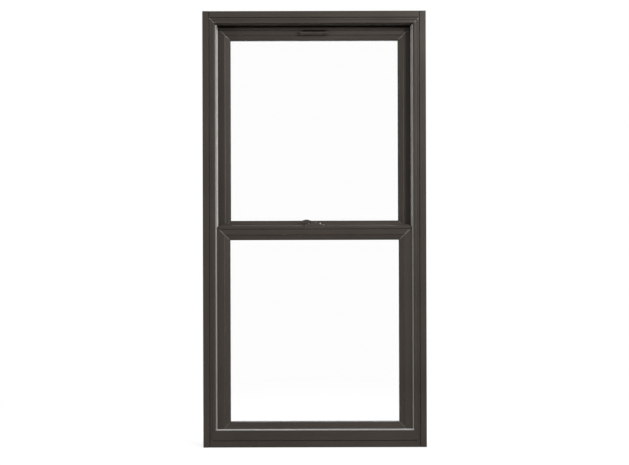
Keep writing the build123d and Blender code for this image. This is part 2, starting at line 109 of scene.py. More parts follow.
# a gasket's rounding as a share of its rise, and the grip ridges on each side of the middle one
GASKET_ROUND = 0.4
RIDGES_BESIDE = 2

# the even light's strength from below, and the heights of its direction between which it grows
UNDER_LIGHT = 0.03
LIGHT_FROM = -0.35
LIGHT_FULL = 0.25

# the floor: half its width, and the distances between which its shadow fades, in metres
FLOOR_REACH = 6.0
FADE_FROM = 0.3
FADE_TO = 1.6
FADE_NEAR = 0.78
FLOOR_GREY = (0.22, 0.22, 0.22, 1.0)


def colour(name, text, value):
    """A colour that a user may change."""
    return bpy.props.FloatVectorProperty(
        name=name, description=text, subtype="COLOR", size=3, min=0.0, max=1.0, default=value)


def length(name, text, value):
    """A size in metres that a user may change."""
    return bpy.props.FloatProperty(
        name=name, description=text, unit="LENGTH", precision=5, min=0.0, default=value)


def station(name, text, value):
    """A place in metres that a user may change."""
    return bpy.props.FloatVectorProperty(
        name=name, description=text, subtype="TRANSLATION", unit="LENGTH", size=3, default=value)


def number(name, text, value, top=1.0):
    """A plain number that a user may change."""
    return bpy.props.FloatProperty(name=name, description=text, min=0.0, max=top, default=value)


class WindowFinish(bpy.types.PropertyGroup):
    """Colours and gloss of the window's materials."""

    bronze: colour("Bronze", "Colour of the frame and sash profiles", (0.0360, 0.0292, 0.0242))
    # the lighter colour painted along outer edges: partly wear, partly painted highlight
    worn_and_highlit: colour("Rubbed edge", "Colour of the profiles along rubbed edges", (0.125, 0.108, 0.094))
    enamel: colour("Enamel", "Colour of the lock's painted metal", (0.0300, 0.0245, 0.0205))
    # this pale colour also paints the highlight line along the sill stop's top edge
    weld: colour("Weld", "Colour of the trimmed corner welds", (0.205, 0.191, 0.178))
    glass: colour("Glass", "Tint of the panes", (0.990, 0.989, 0.989))
    seal: colour("Seal", "Colour of the parting strips", (0.450, 0.450, 0.450))
    bulb: colour("Bulb", "Colour of the sill's bulb seal", (0.290, 0.288, 0.285))
    pile: colour("Pile", "Colour of the pile strips", (0.265, 0.250, 0.232))
    gasket: colour("Gasket", "Colour of the glazing gaskets", (0.012, 0.011, 0.011))
    spacer: colour("Spacer", "Colour of the aluminium spacer", (0.560, 0.565, 0.570))
    steel: colour("Steel", "Colour of the zinc-plated steel", (0.420, 0.425, 0.430))
    screw: colour("Screw", "Colour of the plated screws", (0.700, 0.685, 0.665))
    roughness: number("Roughness", "Middle roughness of the profiles", 0.42)
    shine: number("Shine", "Specular level of the profiles", 0.15)


class WindowDetail(bpy.types.PropertyGroup):
    """Sizes of the small pieces that the looks add."""

    step_back: length("Step", "Face of a stop back to the step beside it", 0.0007)
    stop_trim: length("Stop trim", "Weld held back from the edges of a stop", 0.0026)
    groove_deep: length("Groove depth", "Room face back to the bottom of the frame's groove", 0.0040)
    weld_trim: length("Weld trim", "Weld held back at a groove or an edge of the frame", 0.0012)
    flat: length("Flat", "Width of the flat face of a sash member", 0.026)
    bevel: length("Bevel", "Width of the bevel inside the flat", 0.0035)
    bevel_deep: length("Bevel depth", "Depth of that bevel", 0.0026)
    bead_deep: length("Bead depth", "Depth of the bead where it meets the glass", 0.0064)
    bead_end: length("Bead end", "Daylight edge back to the end of a weld on the bead", 0.0018)
    room_trim: length("Room trim", "Weld held back from a sash's edge on the room side", 0.0015)
    rear_trim: length("Weather trim", "Weld held back from a sash's edge on the weather side", 0.0020)
    rear_end: length("Weather end", "Daylight edge back to the end of a weld on the weather side", 0.0040)
    weld_wide: length("Weld width", "Width of a corner weld", 0.0014)
    weld_thin: length("Thin weld", "Width of a weld at the foot of a sash", 0.0006)
    weld_rise: length("Weld rise", "Height of a corner weld", 0.00012)
    lip: length("Bead lip", "Daylight edge back to the edge of the glazing bead", 0.0008)
    gasket_wide: length("Gasket width", "Width of a glazing gasket inside the daylight edge", 0.0007)
    gasket_rise: length("Gasket rise", "Height of a glazing gasket on the glass", 0.0008)
    ear_x: length("Ear place", "Middle of the lock to the middle of a screw ear", 0.0205)
    ear_near: length("Recess place", "Middle of the lock forward to the middle of a screw recess", 0.0039)
    ear_drop: length("Recess drop", "Top of a screw ear down to the middle of its recess", 0.0025)
    bore_deep: length("Recess depth", "Depth of the screw recess in an ear", 0.0022)
    screw_r: length("Screw radius", "Radius of a screw head", 0.0025)
    screw_rise: length("Screw rise", "Height of a screw head", 0.0020)
    fin_wide: length("Fin width", "Width of the pile strip's face beside the stop", 0.0048)
    tuft_step: length("Tuft step", "Spacing of the tufts of pile", 0.0032)
    grip_in: length("Grip place", "Inner end of a latch to the middle of its thumb grip", 0.0215)
    ridge_wide: length("Ridge width", "Width of a grip ridge on a latch", 0.0010)
    ridge_long: length("Ridge length", "Length of a grip ridge on a latch", 0.0070)
    ridge_step: length("Ridge step", "Spacing of the grip ridges", 0.0022)


class WindowStage(bpy.types.PropertyGroup):
    """Camera, lamps and floor."""

    distance: length("Distance", "Camera to the room face of the frame", 4.300)
    eye: length("Eye height", "Height of the camera above the sill's underside", 0.853)
    horizon: number("Horizon row", "Row of the photograph at the height of the eye", 209.0, 465.0)
    scale: length("Scale", "Size of one pixel on the room face", 0.003578)
    roll: bpy.props.FloatProperty(
        name="Roll", description="Lean of the camera to the right", subtype="ANGLE",
        default=math.radians(0.159))
    key: number("Key", "Power of the lamp at the upper right, in watts", 560.0, 5000.0)
    glint: number("Glint", "Power of the small lamp at the upper right, in watts", 15.0, 5000.0)
    side: number("Sides", "Power of each grazing lamp, in watts", 35.0, 5000.0)
    rear: number("Rear", "Power of the lamp behind, in watts", 60.0, 5000.0)
    ambient: number("Ambient", "Strength of the even light from above", 0.60, 10.0)
    key_place: station("Key place", "Where the key lamp stands", (5.70, -8.40, 4.80))
    glint_place: station("Glint place", "Where the small lamp stands", (1.00, -0.95, 1.90))
    right_place: station("Right place", "Where the right grazing lamp stands", (2.40, -0.90, 1.10))
    left_place: station("Left place", "Where the left grazing lamp stands", (-2.40, -0.90, 1.20))
    rear_place: station("Rear place", "Where the lamp behind stands", (1.20, 2.60, 3.00))
    key_size: length("Key size", "Width of the key lamp", 2.0)
    glint_size: length("Glint size", "Width of the small lamp", 0.5)
    side_size: length("Side size", "Width of each grazing lamp", 1.2)
    rear_size: length("Rear size", "Width of the lamp behind", 1.8)
    glint_aim: length("Glint aim", "Middle of the window up to where the small lamp points", 0.6)


def add_node(tree, kind, inputs=None, **settings):
    """Add a shader node, set its fields, and set or link its inputs."""
    node = tree.nodes.new(kind)
    for key, value in settings.items():
        setattr(node, key, value)
    for key, value in (inputs or {}).items():
        if isinstance(value, bpy.types.NodeSocket):
            tree.links.new(value, node.inputs[key])
        else:
            node.inputs[key].default_value = value
    return node


def start_material(name):
    """A new node material, with its tree and its main shader."""
    material = bpy.data.materials.new(name)
    material.use_nodes = True
    tree = material.node_tree
    return material, tree, tree.nodes["Principled BSDF"]


def drive(shader, **sources):
    """Link sources to the shader's inputs, named with underscores for spaces."""
    for key, source in sources.items():
        shader.id_data.links.new(source, shader.inputs[key.replace("_", " ")])


def noise(tree, scale, stretch=(1.0, 1.0, 1.0), detail=3.0):
    """Noise on object coordinates, stretched along the axes."""
    place = add_node(tree, "ShaderNodeTexCoord")
    turned = add_node(tree, "ShaderNodeMapping", {"Vector": place.outputs["Object"], "Scale": stretch})
    return add_node(tree, "ShaderNodeTexNoise", {
        "Vector": turned.outputs["Vector"], "Scale": scale, "Detail": detail}).outputs["Fac"]


def ramp(tree, source, *stops):
    """Colours or greys along a value from 0 to 1."""
    node = add_node(tree, "ShaderNodeValToRGB", {"Fac": source})
    elements = node.color_ramp.elements
    while len(elements) < len(stops):
        elements.new(1.0)
    for element, (place, value) in zip(elements, stops):
        element.position = place
        element.color = (*value, 1.0) if hasattr(value, "__len__") else (value, value, value, 1.0)
    return node.outputs["Color"]


def between(tree, source, low, high):
    """A ramp from low to high across the middle of a noise."""
    return ramp(tree, source, (0.3, low), (0.7, high))


def maths(tree, kind, first, second):
    """One sum on two values."""
    return add_node(tree, "ShaderNodeMath", {0: first, 1: second}, operation=kind).outputs[0]


def blend(tree, factor, first, second, kind="MIX"):
    """Mix two colours."""
    return add_node(tree, "ShaderNodeMix", {0: factor, 6: first, 7: second},
                    data_type="RGBA", blend_type=kind).outputs[2]


def bump(tree, height, strength, normal=None):
    """Turn a height into a bent normal."""
    inputs = {"Height": height, "Strength": strength, "Distance": BUMP_DEEP}
    if normal is not None:
        inputs["Normal"] = normal
    return add_node(tree, "ShaderNodeBump", inputs).outputs["Normal"]


def tone(value, factor):
    """A lighter or darker copy of a colour."""
    return tuple(min(1.0, channel * factor) for channel in value)


def worn_and_highlit_edges(tree, radius):
    """A mask of the outer edges, painted lighter as wear and highlight; a mask of open faces, whose low
    values paint shade into recesses; and the softened normal.
    """
    soft = add_node(tree, "ShaderNodeBevel", {"Radius": radius}, samples=4).outputs["Normal"]
    flat = add_node(tree, "ShaderNodeNewGeometry").outputs["Normal"]
    along = add_node(tree, "ShaderNodeVectorMath", {0: soft, 1: flat}, operation="DOT_PRODUCT")
    edges = ramp(tree, maths(tree, "SUBTRACT", 1.0, along.outputs["Value"]), (0.01, 0.0), (0.20, 1.0))
    nearby = add_node(tree, "ShaderNodeAmbientOcclusion", {"Distance": 5 * radius}, samples=8)
    opened = ramp(tree, nearby.outputs["AO"], (0.25, 0.0), (0.85, 1.0))
    return maths(tree, "MULTIPLY", edges, opened), opened, soft


def profile_material(name, finish, draw):
    """Satin plastic profile, with fine grain, draw lines along its length, edges painted lighter as wear and
    highlight, and painted shade in its recesses.
    """
    material, tree, shader = start_material(name)
    cloud = between(tree, noise(tree, 6.0), tone(finish.bronze, 0.90), tone(finish.bronze, 1.12))
    lines = noise(tree, 1.0, draw, 2.0)
    drawn = blend(tree, 0.35, cloud, ramp(tree, lines, (0.35, 0.70), (0.65, 1.0)), "MULTIPLY")
    edges, opened, soft = worn_and_highlit_edges(tree, PROFILE_EDGE_REACH)
    # painted shade: the colour darkens where the faces are closed in, in grooves, creases and recesses
    recess_shaded = blend(tree, 1.0, drawn, ramp(tree, opened, (0.0, 0.45), (1.0, 1.0)), "MULTIPLY")
    # painted highlight and wear: patches of the lighter edge colour along the outer edges
    patchy = maths(tree, "MULTIPLY", edges, ramp(tree, noise(tree, 45.0), (0.35, 0.35), (0.70, 0.90)))
    gloss = blend(tree, 0.5, lines, noise(tree, 160.0))
    grained = bump(tree, noise(tree, 1500.0, detail=4.0), 0.10, soft)
    drive(shader,
          Base_Color=blend(tree, patchy, recess_shaded, (*finish.worn_and_highlit, 1.0)),
          Roughness=between(tree, gloss, finish.roughness - 0.07, finish.roughness + 0.09),
          Normal=bump(tree, lines, 0.08, grained))
    shader.inputs["Specular IOR Level"].default_value = finish.shine
    return material


def moulded_material(name, base, roughness, shine, coat):
    """Moulded or enamelled hardware, with a fine leather grain, edges painted lighter as wear and highlight,
    and painted shade in its recesses.
    """
    material, tree, shader = start_material(name)
    cloud = between(tree, noise(tree, 60.0), tone(base, 0.88), tone(base, 1.15))
    edges, opened, soft = worn_and_highlit_edges(tree, HARDWARE_EDGE_REACH)
    # painted shade: the colour darkens where the faces are closed in, in grooves, creases and recesses
    recess_shaded = blend(tree, 1.0, cloud, ramp(tree, opened, (0.0, 0.50), (1.0, 1.0)), "MULTIPLY")
    # painted highlight and wear: patches of a much lighter colour along the outer edges
    patchy = maths(tree, "MULTIPLY", edges, ramp(tree, noise(tree, 120.0), (0.35, 0.10), (0.70, 0.80)))
    drive(shader,
          Base_Color=blend(tree, patchy, recess_shaded, (*tone(base, 3.4), 1.0)),
          Roughness=between(tree, noise(tree, 220.0), roughness - 0.06, roughness + 0.08),
          Normal=bump(tree, noise(tree, 900.0), 0.08, soft))
    shader.inputs["Specular IOR Level"].default_value = shine
    shader.inputs["Coat Weight"].default_value = coat
    shader.inputs["Coat Roughness"].default_value = 0.20
    return material


def glass_material(name, finish):
    """Clear float glass with faint wiping marks, which lets the lamps through."""
    material, tree, shader = start_material(name)
    shader.inputs["Base Color"].default_value = (*finish.glass, 1.0)
    shader.inputs["Transmission Weight"].default_value = 1.0
    shader.inputs["IOR"].default_value = 1.5
    wiped = noise(tree, 5.0, (1.0, 1.0, 0.25), 4.0)
    drive(shader,
          Roughness=ramp(tree, wiped, (0.45, 0.0), (0.75, 0.035)),
          Normal=bump(tree, noise(tree, 2.0), 0.03))
    path = add_node(tree, "ShaderNodeLightPath")
    clear = add_node(tree, "ShaderNodeBsdfTransparent", {"Color": (*finish.glass, 1.0)})
    mixed = add_node(tree, "ShaderNodeMixShader", {
        0: path.outputs["Is Shadow Ray"], 1: shader.outputs["BSDF"], 2: clear.outputs["BSDF"]})
    tree.links.new(mixed.outputs["Shader"], tree.nodes["Material Output"].inputs["Surface"])
    return material


def rubber_material(name, base, roughness):
    """Soft extruded rubber with a dull bloom."""
    material, tree, shader = start_material(name)
    drive(shader,
          Base_Color=between(tree, noise(tree, 90.0), tone(base, 0.85), tone(base, 1.12)),
          Roughness=between(tree, noise(tree, 40.0), roughness - 0.1, roughness + 0.1),
          Normal=bump(tree, noise(tree, 1200.0), 0.15))
    shader.inputs["Specular IOR Level"].default_value = 0.3
    return material


def pile_material(name, finish):
    """Woven pile: short upright fibres with a soft sheen."""
    material, tree, shader = start_material(name)
    fibres = noise(tree, 1.0, PILE_FIBRES, 2.0)
    drive(shader,
          Base_Color=between(tree, fibres, tone(finish.pile, 0.6), tone(finish.pile, 1.3)),
          Roughness=between(tree, fibres, 0.85, 1.0),
          Normal=bump(tree, fibres, 0.5))
    shader.inputs["Sheen Weight"].default_value = 0.4
    return material


def metal_material(name, base, roughness, streak, spots=0.0):
    """Bare metal with rolling streaks, and where it is asked for, a grid of fine vent holes drawn as dark
    spots: painted shade, as the holes are not cut.
    """
    material, tree, shader = start_material(name)
    streaks = noise(tree, 1.0, streak)
    surface = between(tree, streaks, tone(base, 0.82), tone(base, 1.10))
    height = streaks
    if spots:
        place = add_node(tree, "ShaderNodeTexCoord")
        cells = add_node(tree, "ShaderNodeTexVoronoi", {
            "Vector": place.outputs["Object"], "Scale": spots, "Randomness": 0.0})
        # painted shade: the colour is darkened in the spots where the holes would be
        holes = ramp(tree, cells.outputs["Distance"], (0.10, 0.0), (0.16, 1.0))
        surface = blend(tree, 0.7, surface, holes, "MULTIPLY")
        height = blend(tree, 0.5, streaks, holes)
    drive(shader,
          Base_Color=surface,
          Roughness=between(tree, noise(tree, 130.0), roughness - 0.08, roughness + 0.10),
          Normal=bump(tree, height, 0.12))
    shader.inputs["Metallic"].default_value = 1.0
    return material


def weld_material(name, finish):
    """The trimmed weld at a mitre: a scraped, paler line; the same pale line also paints a highlight along
    the sill stop's top edge.
    """
    material, tree, shader = start_material(name)
    scraped = noise(tree, 420.0, detail=4.0)
    drive(shader,
          Base_Color=between(tree, scraped, tone(finish.weld, 0.6), tone(finish.weld, 1.2)),
          Roughness=between(tree, scraped, 0.40, 0.62),
          Normal=bump(tree, scraped, 0.3))
    return material


MAKERS = {
    "bronze_upright": lambda name, f: profile_material(name, f, UPRIGHT_DRAW),
    "bronze_level": lambda name, f: profile_material(name, f, LEVEL_DRAW),
    "bronze_moulded": lambda name, f: moulded_material(name, f.bronze, roughness=0.40, shine=0.16, coat=0.0),
    "bronze_enamel": lambda name, f: moulded_material(name, f.enamel, roughness=0.30, shine=0.25, coat=0.10),
    "weld_and_edge_highlight": weld_material,
    "float_glass": glass_material,
    "grey_seal": lambda name, f: rubber_material(name, f.seal, roughness=0.62),
    "grey_bulb": lambda name, f: rubber_material(name, f.bulb, roughness=0.66),
    "black_gasket": lambda name, f: rubber_material(name, f.gasket, roughness=0.55),
    "wool_pile": pile_material,
    "spacer_aluminium": lambda name, f: metal_material(name, f.spacer, 0.38, SPACER_STREAKS, VENT_HOLES),
    "zinc_steel": lambda name, f: metal_material(name, f.steel, 0.36, STEEL_STREAKS),
    "plated_screw": lambda name, f: metal_material(name, f.screw, 0.36, SCREW_STREAKS),
}


def finish_of(name):
    """A material of the window, made the first time that it is asked for."""
    return bpy.data.materials.get(name) or MAKERS[name](name, bpy.context.scene.window_finish)


def dress(material, *nodes):
    """Give solids a material of their own."""
    for name in nodes:
        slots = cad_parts[name].data.materials
        slots.clear()
        slots.append(finish_of(material))


def add_piece(name, mesh, material):
    """Turn a finished bmesh into a piece that rides with the window."""
    bmesh.ops.recalc_face_normals(mesh, faces=mesh.faces)
    data = bpy.data.meshes.new(name)
    mesh.to_mesh(data)
    mesh.free()
    data.materials.append(finish_of(material))
    piece = bpy.data.objects.new(name, data)
    bpy.context.scene.collection.objects.link(piece)
    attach(piece, BODY)


def verts_of(made):
    """The vertices among what an operator made."""
    return [item for item in made if isinstance(item, bmesh.types.BMVert)]


def edges_of(made):
    """The edges among what an operator made."""
    return [item for item in made if isinstance(item, bmesh.types.BMEdge)]


def round_edges(mesh, edges, width):
    """Round some edges of a mesh."""
    bmesh.ops.bevel(mesh, geom=edges, offset=width, segments=2, profile=0.5, affect="EDGES", material=-1)


def add_bar(mesh, low, high, rounding):
    """Add a bar between two corners, with rounded edges."""
    place = Matrix.Translation((low + high) / 2) @ Matrix.Diagonal((*(high - low), 1.0))
    made = bmesh.ops.create_cube(mesh, size=1.0, matrix=place)["verts"]
    round_edges(mesh, list({edge for vert in made for edge in vert.link_edges}), rounding)


def add_seam(mesh, points, facing, width, rise):
    """Add a thin raised line that follows points along a surface."""
    run = [Vector(point) for point in points]
    across = (run[-1] - run[0]).cross(facing).normalized() * width / 2
    first = [mesh.verts.new(run[0] + offset) for offset in
             (-across, across, across / 2 + facing * rise, -across / 2 + facing * rise)]
    ends = [mesh.faces.new(first)]
    for start, end in zip(run, run[1:]):
        made = bmesh.ops.extrude_face_region(mesh, geom=ends, use_keep_orig=start == run[0])["geom"]
        bmesh.ops.translate(mesh, verts=verts_of(made), vec=end - start)
        ends = [item for item in made if isinstance(item, bmesh.types.BMFace)]


def add_ring(mesh, span, near_y, far_y, reach, width):
    """Add a rectangular ring of gasket on the glass, which starts a reach outside the daylight edges."""
    spread = Matrix.Diagonal((span.day_half + reach, (span.day_top - span.day) / 2 + reach, 1.0, 1.0))
    centre = Matrix.Translation((0, near_y, (span.day_top + span.day) / 2))
    place = centre @ Matrix.Rotation(math.radians(90), 4, "X") @ spread
    made = bmesh.ops.create_grid(mesh, x_segments=1, y_segments=1, size=1.0, matrix=place)["verts"]
    sheet = made[0].link_faces[0]
    ring = bmesh.ops.inset_region(
        mesh, faces=[sheet], thickness=width, use_boundary=True, use_even_offset=True)["faces"]
    bmesh.ops.delete(mesh, geom=[sheet], context="FACES")
    raised = bmesh.ops.extrude_face_region(mesh, geom=ring, use_keep_orig=True)["geom"]
    bmesh.ops.translate(mesh, verts=verts_of(raised), vec=(0, far_y - near_y, 0))
    straight = [edge for edge in edges_of(raised)
                if min(abs(c) for c in (edge.verts[0].co - edge.verts[1].co).xz) < width / 2]
    round_edges(mesh, straight, abs(far_y - near_y) * GASKET_ROUND)


def add_screw(mesh, place, radius, rise):
    """Add a pan head with a cross recess, made flat and then put in its place."""
    start = len(mesh.verts)
    rim = bmesh.ops.create_circle(mesh, segments=SCREW_SIDES, radius=radius)["verts"]
    rim_edges = list({edge for vert in rim for edge in vert.link_edges})
    risen = bmesh.ops.extrude_edge_only(mesh, edges=rim_edges)["geom"]
    top = verts_of(risen)
    bmesh.ops.translate(mesh, verts=top, vec=UP * rise)
    bmesh.ops.scale(mesh, verts=top, vec=(SCREW_TOP, SCREW_TOP, 1.0))
    arm = radius * CROSS_ARM
    waist = radius * CROSS_WAIST
    crown = rise * SCREW_CROWN
    quarter = [(arm, -waist), (arm, waist), (waist, waist), (waist, arm), (-waist, arm), (-waist, waist)]
    cross = [mesh.verts.new((x, y, crown)) for x, y in quarter + [(-x, -y) for x, y in quarter]]
    cross_edges = [mesh.edges.new(pair) for pair in zip(cross, cross[1:] + cross[:1])]
    top_edges = [edge for edge in edges_of(risen) if all(vert in top for vert in edge.verts)]
    bmesh.ops.bridge_loops(mesh, edges=top_edges + cross_edges)
    sunk = bmesh.ops.extrude_edge_only(mesh, edges=cross_edges)["geom"]
    floor = verts_of(sunk)
    bmesh.ops.translate(mesh, verts=floor, vec=UP * -rise * CROSS_DEEP)
    floor_edges = [edge for edge in edges_of(sunk) if all(vert in floor for vert in edge.verts)]
    bmesh.ops.edgeloop_fill(mesh, edges=floor_edges)
    bmesh.ops.edgeloop_fill(mesh, edges=rim_edges)
    mesh.verts.ensure_lookup_table()
    bmesh.ops.transform(mesh, matrix=place, verts=mesh.verts[start:])


class SashSpan:
    """Where one sash's corners, faces and glass lie."""

    def __init__(self, name):
        stile_low, stile_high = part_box(f"{name}_right_stile")
        self.name = name
        self.half = stile_high.x
        self.day_half = stile_low.x
        self.member = self.half - self.day_half
        self.face = stile_low.y
        self.back = stile_high.y
        self.day = stile_low.z + self.member
        self.day_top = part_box(f"{name}_top_rail")[0].z
        self.rail = stile_high.z - self.day_top
        self.glass_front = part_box(f"{name}_inner_pane")[0].y
        self.glass_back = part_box(f"{name}_outer_pane")[1].y


class WINDOW_OT_frame(bpy.types.Operator):
    """Finish the outer frame, its stops and its corner joints, and paint a highlight line along the sill
    stop's top edge.
    """

    bl_idname = "window.dress_frame"
    bl_label = "Frame"

    def execute(self, context):
        detail = context.scene.window_detail
        dress("bronze_upright", "left_jamb", "right_jamb", "left_stop", "right_stop")
        dress("bronze_level", "head", "sill", "head_stop", "sill_stop")
        outer = CAD_BOX[1]
        stop_low, stop_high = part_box("head_stop")
        foot_low, foot_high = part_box("sill_stop")
        face = outer.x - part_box("head")[1].x
        stop_out = outer.z - stop_high.z
        stop_in = outer.z - stop_low.z
        groove_y = CAD_BOX[0].y + detail.groove_deep
        groove_z = face - detail.weld_trim
        foot_y = foot_low.y + detail.stop_trim
        foot_z = foot_high.z - detail.weld_trim
        runs = (
            (face, stop_out - detail.weld_trim, stop_low.y + detail.step_back),
            (stop_out + detail.stop_trim, stop_in - detail.stop_trim, stop_low.y),
        )
        seams = bmesh.new()
        size = (ROOM, detail.weld_wide, detail.weld_rise)
        for side in SIDES:
            for start, end, y in runs:
                add_seam(seams, [(side * (outer.x - u), y, outer.z - u) for u in (start, end)], *size)
            add_seam(seams, [(side * (outer.x - u), groove_y, groove_z) for u in (face, stop_out)], *size)
            # painted highlight: a pale line just under the sill stop's top edge, from its end to the inner
            # edge of the jamb stop
            add_seam(seams, [(side * x, foot_y, foot_z) for x in (foot_high.x, outer.x - stop_in)], *size)
        add_piece("frame_corner_welds", seams, "weld_and_edge_highlight")
        return {"FINISHED"}


class WINDOW_OT_sashes(bpy.types.Operator):
    """Finish both sashes, their beads and their welded corners."""

    bl_idname = "window.dress_sashes"
    bl_label = "Sashes"

    def execute(self, context):
        for name in SASHES:
            for hand in HANDS.values():
                dress("bronze_upright", f"{name}_{hand}_stile", f"{name}_{hand}_bead")
            for end in ("top", "bottom"):
                dress("bronze_level", f"{name}_{end}_rail", f"{name}_{end}_bead")
            self.add_welds(SashSpan(name), context.scene.window_detail)
        return {"FINISHED"}

    def add_welds(self, span, detail):
        """The trimmed weld lines on the room side and the weather side of one sash."""
        flat_in = span.member - detail.flat
        inner = (
            (flat_in, 0.0),
            (flat_in - detail.bevel, detail.bevel_deep),
            (detail.bead_end, detail.bead_deep),
        )
        corners = (
            (span.day, -1, span.member, detail.weld_thin),
            (span.day_top, 1, span.rail, detail.weld_wide),
        )
        seams = bmesh.new()
        for side in SIDES:
            for z, way, reach, width in corners:
                points = [(side * (span.day_half + w), span.face + t, z + way * w)
                          for w, t in ((reach - detail.room_trim, 0.0), *inner)]
                add_seam(seams, points, ROOM, width, detail.weld_rise)
                points = [(side * (span.day_half + w), span.back, z + way * w)
                          for w in (detail.rear_end, reach - detail.rear_trim)]
                add_seam(seams, points, WEATHER, width, detail.weld_rise)
        add_piece(f"{span.name}_corner_welds", seams, "weld_and_edge_highlight")


class WINDOW_OT_glazing(bpy.types.Operator):
    """Finish the panes and spacers, and fit the gaskets."""

    bl_idname = "window.dress_glazing"
    bl_label = "Glazing"

    def execute(self, context):
        detail = context.scene.window_detail
        for name in SASHES:
            dress("float_glass", f"{name}_inner_pane", f"{name}_outer_pane")
            dress("spacer_aluminium", f"{name}_spacer")
            span = SashSpan(name)
            gaskets = bmesh.new()
            for glass_y, way, lip in ((span.glass_front, -1, detail.lip), (span.glass_back, 1, 0.0)):
                far_y = glass_y + way * detail.gasket_rise
                add_ring(gaskets, span, glass_y, far_y, lip, lip + detail.gasket_wide)
            add_piece(f"{name}_glazing_gaskets", gaskets, "black_gasket")
        return {"FINISHED"}


class WINDOW_OT_seals(bpy.types.Operator):
    """Finish the sill's bulb, the parting strips and the pile."""

    bl_idname = "window.dress_seals"
    bl_label = "Seals"

    def execute(self, context):
        detail = context.scene.window_detail
        step = detail.tuft_step
        margin = step / 4
        dress("grey_seal", "left_parting_strip", "right_parting_strip")
        dress("grey_bulb", "sill_weatherstrip")
        dress("wool_pile", "left_pile_strip", "right_pile_strip")
        rng = random.Random(TUFT_SEED)
        for side, hand in HANDS.items():
            low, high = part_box(f"{hand}_pile_strip")
            stop_edge = max(abs(low.x), abs(high.x))
            tufts = bmesh.new()
            for index in range(int((high.z - low.z) / step)):
                lean = Matrix.Rotation(math.radians(90 + rng.uniform(-TUFT_LEAN, TUFT_LEAN)), 4, "X")
                across = stop_edge - rng.uniform(margin, detail.fin_wide - margin)
                root = Vector((side * across, low.y, low.z + (index + 0.5) * step))
                bmesh.ops.create_cone(
                    tufts, cap_ends=True, segments=TUFT_SIDES,
                    radius1=step * TUFT_FOOT, radius2=step * TUFT_TIP,
                    depth=step * rng.uniform(*TUFT_HIGH), matrix=Matrix.Translation(root) @ lean)
            add_piece(f"{hand}_pile_tufts", tufts, "wool_pile")
        return {"FINISHED"}


class WINDOW_OT_lock(bpy.types.Operator):
    """Finish the cam lock and its keeper, and set the screws in its ears."""

    bl_idname = "window.dress_lock"
    bl_label = "Lock"

    def execute(self, context):
        detail = context.scene.window_detail
        dress("bronze_enamel", "lock_base", "lock_lever", "lock_keeper")
        low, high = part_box("lock_base")
        tilt = Matrix.Rotation(EAR_TILT, 4, "X")
        sink = tilt @ (UP * -detail.bore_deep)
        mouth_y = (low.y + high.y) / 2 - detail.ear_near
        screws = bmesh.new()
        for side in SIDES:
            mouth = Vector((side * detail.ear_x, mouth_y, high.z - detail.ear_drop))
            add_screw(screws, Matrix.Translation(mouth + sink) @ tilt, detail.screw_r, detail.screw_rise)
        add_piece("lock_screws", screws, "plated_screw")
        return {"FINISHED"}


class WINDOW_OT_latches(bpy.types.Operator):
    """Finish the tilt latches, with a ridged thumb grip on each."""

    bl_idname = "window.dress_latches"
    bl_label = "Tilt latches"

    def execute(self, context):
        detail = context.scene.window_detail
        reach = Vector((detail.ridge_wide / 2, detail.ridge_long / 2, detail.ridge_wide / 3))
        ridges = bmesh.new()
        for side, hand in HANDS.items():
            name = f"{hand}_tilt_latch"
            dress("bronze_moulded", name)
            low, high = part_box(name)
            inner = min(abs(low.x), abs(high.x))
            grip = Vector((side * (inner + detail.grip_in), (low.y + high.y) / 2, high.z))
            for index in range(-RIDGES_BESIDE, RIDGES_BESIDE + 1):
                middle = grip + Vector((index * detail.ridge_step, 0, 0))
                add_bar(ridges, middle - reach, middle + reach, detail.ridge_wide / 4)
        add_piece("latch_grips", ridges, "bronze_moulded")
        return {"FINISHED"}


class WINDOW_OT_pull(bpy.types.Operator):
    """Finish the finger pull on the upper sash."""

    bl_idname = "window.dress_pull"
    bl_label = "Finger pull"

    def execute(self, context):
        dress("bronze_moulded", "finger_pull")
        return {"FINISHED"}


class WINDOW_OT_balances(bpy.types.Operator):
    """Finish the balances in the tracks."""

    bl_idname = "window.dress_balances"
    bl_label = "Balances"

    def execute(self, context):
        dress("zinc_steel", *(f"{hand}_{name}_balance" for hand in HANDS.values() for name in SASHES))
        return {"FINISHED"}


def white_to_the_eye(tree):
    """1 for rays from the camera and for reflections and views through glass, else 0."""
    path = add_node(tree, "ShaderNodeLightPath")
    seen = maths(tree, "MAXIMUM", path.outputs["Is Camera Ray"], path.outputs["Is Glossy Ray"])
    return maths(tree, "MAXIMUM", seen, path.outputs["Is Transmission Ray"])


